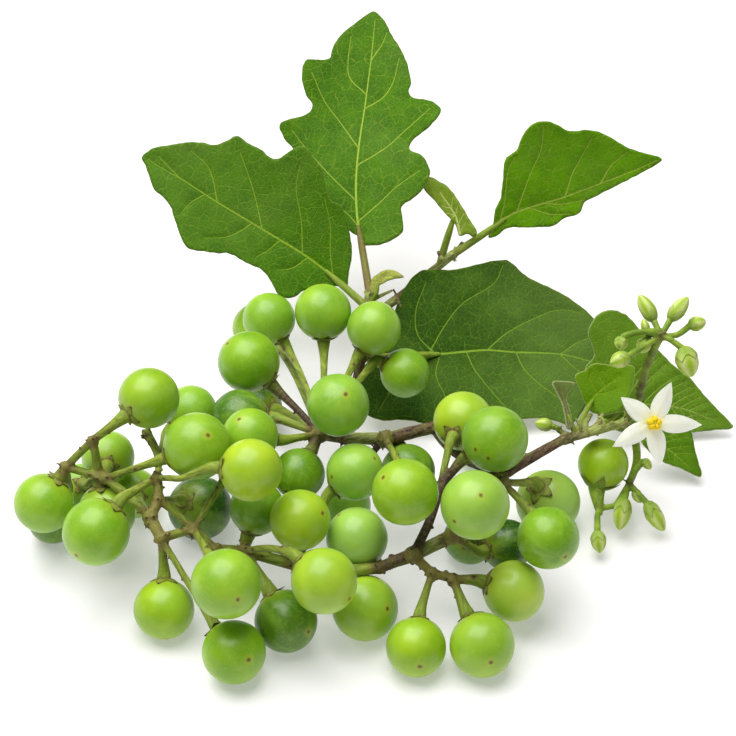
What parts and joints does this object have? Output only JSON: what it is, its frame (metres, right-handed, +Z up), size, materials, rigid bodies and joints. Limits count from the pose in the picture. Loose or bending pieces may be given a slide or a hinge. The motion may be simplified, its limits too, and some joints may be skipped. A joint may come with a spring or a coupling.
{
  "type": "spray of turkey berries",
  "caption": "Picked spray of turkey berry: bunches of small round green berries on branching stalks along a woody stem with lobed leaves, buds and a white star flower.",
  "frame": {"origin": "middle of the spray's outline seen from above, at the height of the surface it lies on", "axes": "+Z up; +Y away from the viewer, from the front berries to the tip of the upright leaf; +X towards the open flower"},
  "size_m": [0.1515, 0.1614, 0.0569],
  "materials": {
    "bark": "matt brown-olive young bark",
    "berry_green": "satin skin of a fresh green berry on an olive stalk",
    "leaf_green": "matt leaf with paler veins",
    "bud_green": "matt yellow-green, finely hairy",
    "petal_white": "matt creamy white petal",
    "anther_yellow": "matt golden yellow"
  },
  "bodies": {
    "root": {"woody_stem": "bark", "bunch_left": "berry_green", "bunch_top": "berry_green", "bunch_middle": "berry_green", "bunch_front": "berry_green", "bunch_under": "berry_green", "bunch_right": "berry_green", "leaf_left": "leaf_green", "leaf_upright": "leaf_green", "leaf_right": "leaf_green", "leaf_young": "leaf_green", "leaf_broad": "leaf_green", "leaf_far_right": "leaf_green", "leaf_corner": "leaf_green", "leaf_underside": "leaf_green", "leaf_dry": "leaf_green", "leaf_sprout": "leaf_green", "bud_spray_upper": "bud_green", "bud_spray_lower": "bud_green", "bud_side": "bud_green", "flower_petals": "petal_white", "flower_anthers": "anther_yellow"}
  },
  "joints": []
}
